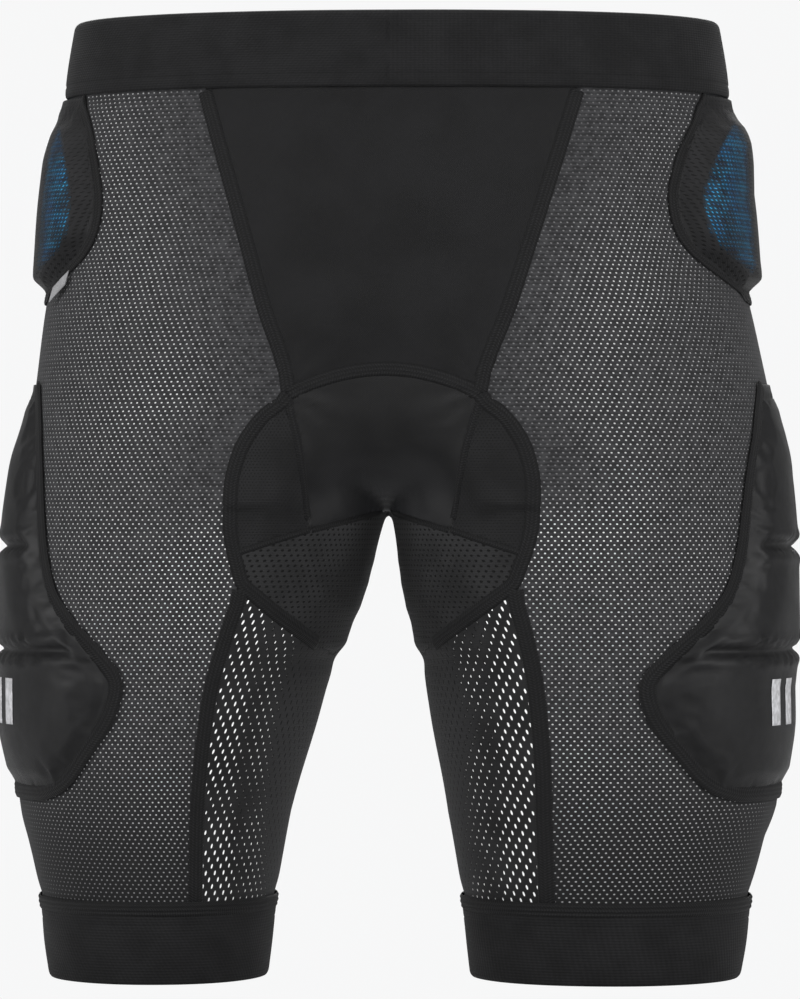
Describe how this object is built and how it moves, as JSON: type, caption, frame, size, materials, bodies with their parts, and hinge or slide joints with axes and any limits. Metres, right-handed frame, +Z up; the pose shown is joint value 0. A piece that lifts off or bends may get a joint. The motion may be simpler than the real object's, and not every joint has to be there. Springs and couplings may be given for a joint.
{
  "type": "padded impact shorts",
  "caption": "Close-fitting padded shorts with an elastic waistband, mesh panels, removable hip armour, moulded thigh pads, a seat pad and elastic leg cuffs.",
  "frame": {"origin": "on the plane of the two leg hems, midway between the legs and midway front to back", "axes": "+Z up towards the waistband, the front of the shorts faces -Y, +X is the wearer's left; the shorts are shown in the shape they take when worn, legs straight"},
  "size_m": [0.4208, 0.2408, 0.5],
  "materials": {
    "black_elastic": "ribbed woven elastic, matt",
    "black_lycra": "smooth stretch knit, soft sheen",
    "dotted_mesh": "charcoal knit with pale dots",
    "open_mesh": "open perforated knit",
    "chamois_foam": "brushed knit over foam",
    "blue_armor": "matt moulded foam with small raised dots",
    "pad_foam": "matt moulded foam",
    "satin_cover": "satin bonded stretch fabric",
    "silicone": "soft silicone print",
    "tag_fabric": "satin woven tape"
  },
  "bodies": {
    "waist": {"waistband": "black_elastic", "waistband_lining": "black_lycra", "front_center_panel": "black_lycra", "back_center_panel": "black_lycra", "crotch_gusset": "black_lycra", "chamois_pad": "chamois_foam", "chamois_wing_left": "open_mesh", "chamois_wing_right": "open_mesh", "seat_wing_left": "black_lycra", "seat_wing_right": "black_lycra", "tailbone_pad_foam": "pad_foam", "tailbone_pad_cover": "satin_cover", "hip_pocket_left": "open_mesh", "hip_pocket_right": "open_mesh", "hip_pocket_lining_left": "black_lycra", "hip_pocket_lining_right": "black_lycra", "side_mesh_left": "dotted_mesh", "side_mesh_right": "dotted_mesh", "fabric_tag": "tag_fabric", "inner_thigh_panel_left": "open_mesh", "inner_thigh_panel_right": "open_mesh", "inner_leg_mesh_left": "open_mesh", "inner_leg_mesh_right": "open_mesh"},
    "leg_left": {"thigh_pad_foam_left": "pad_foam", "thigh_pad_cover_left": "satin_cover", "leg_cuff_left": "black_elastic", "cuff_gripper_left": "silicone"},
    "leg_right": {"thigh_pad_foam_right": "pad_foam", "thigh_pad_cover_right": "satin_cover", "leg_cuff_right": "black_elastic", "cuff_gripper_right": "silicone"},
    "hip_armor_left": {"hip_armor_left": "blue_armor"},
    "hip_armor_right": {"hip_armor_right": "blue_armor"}
  },
  "joints": [
    {"name": "hip_flex_left", "type": "hinge", "parent": "waist", "child": "leg_left", "pos_m": [0.1, -0.003, 0.3], "axis": [-1, 0, 0], "range_deg": [-15, 35], "deforming": ["side_mesh_left", "inner_leg_mesh_left", "inner_thigh_panel_left"]},
    {"name": "hip_flex_right", "type": "hinge", "parent": "waist", "child": "leg_right", "pos_m": [-0.1, -0.003, 0.3], "axis": [-1, 0, 0], "range_deg": [-15, 35], "deforming": ["side_mesh_right", "inner_leg_mesh_right", "inner_thigh_panel_right"]},
    {"name": "hip_armor_left_slide", "type": "slide", "parent": "waist", "child": "hip_armor_left", "axis": [-1, 0, 0], "range_m": [0, 0.045]},
    {"name": "hip_armor_right_slide", "type": "slide", "parent": "waist", "child": "hip_armor_right", "axis": [1, 0, 0], "range_m": [0, 0.045]}
  ]
}
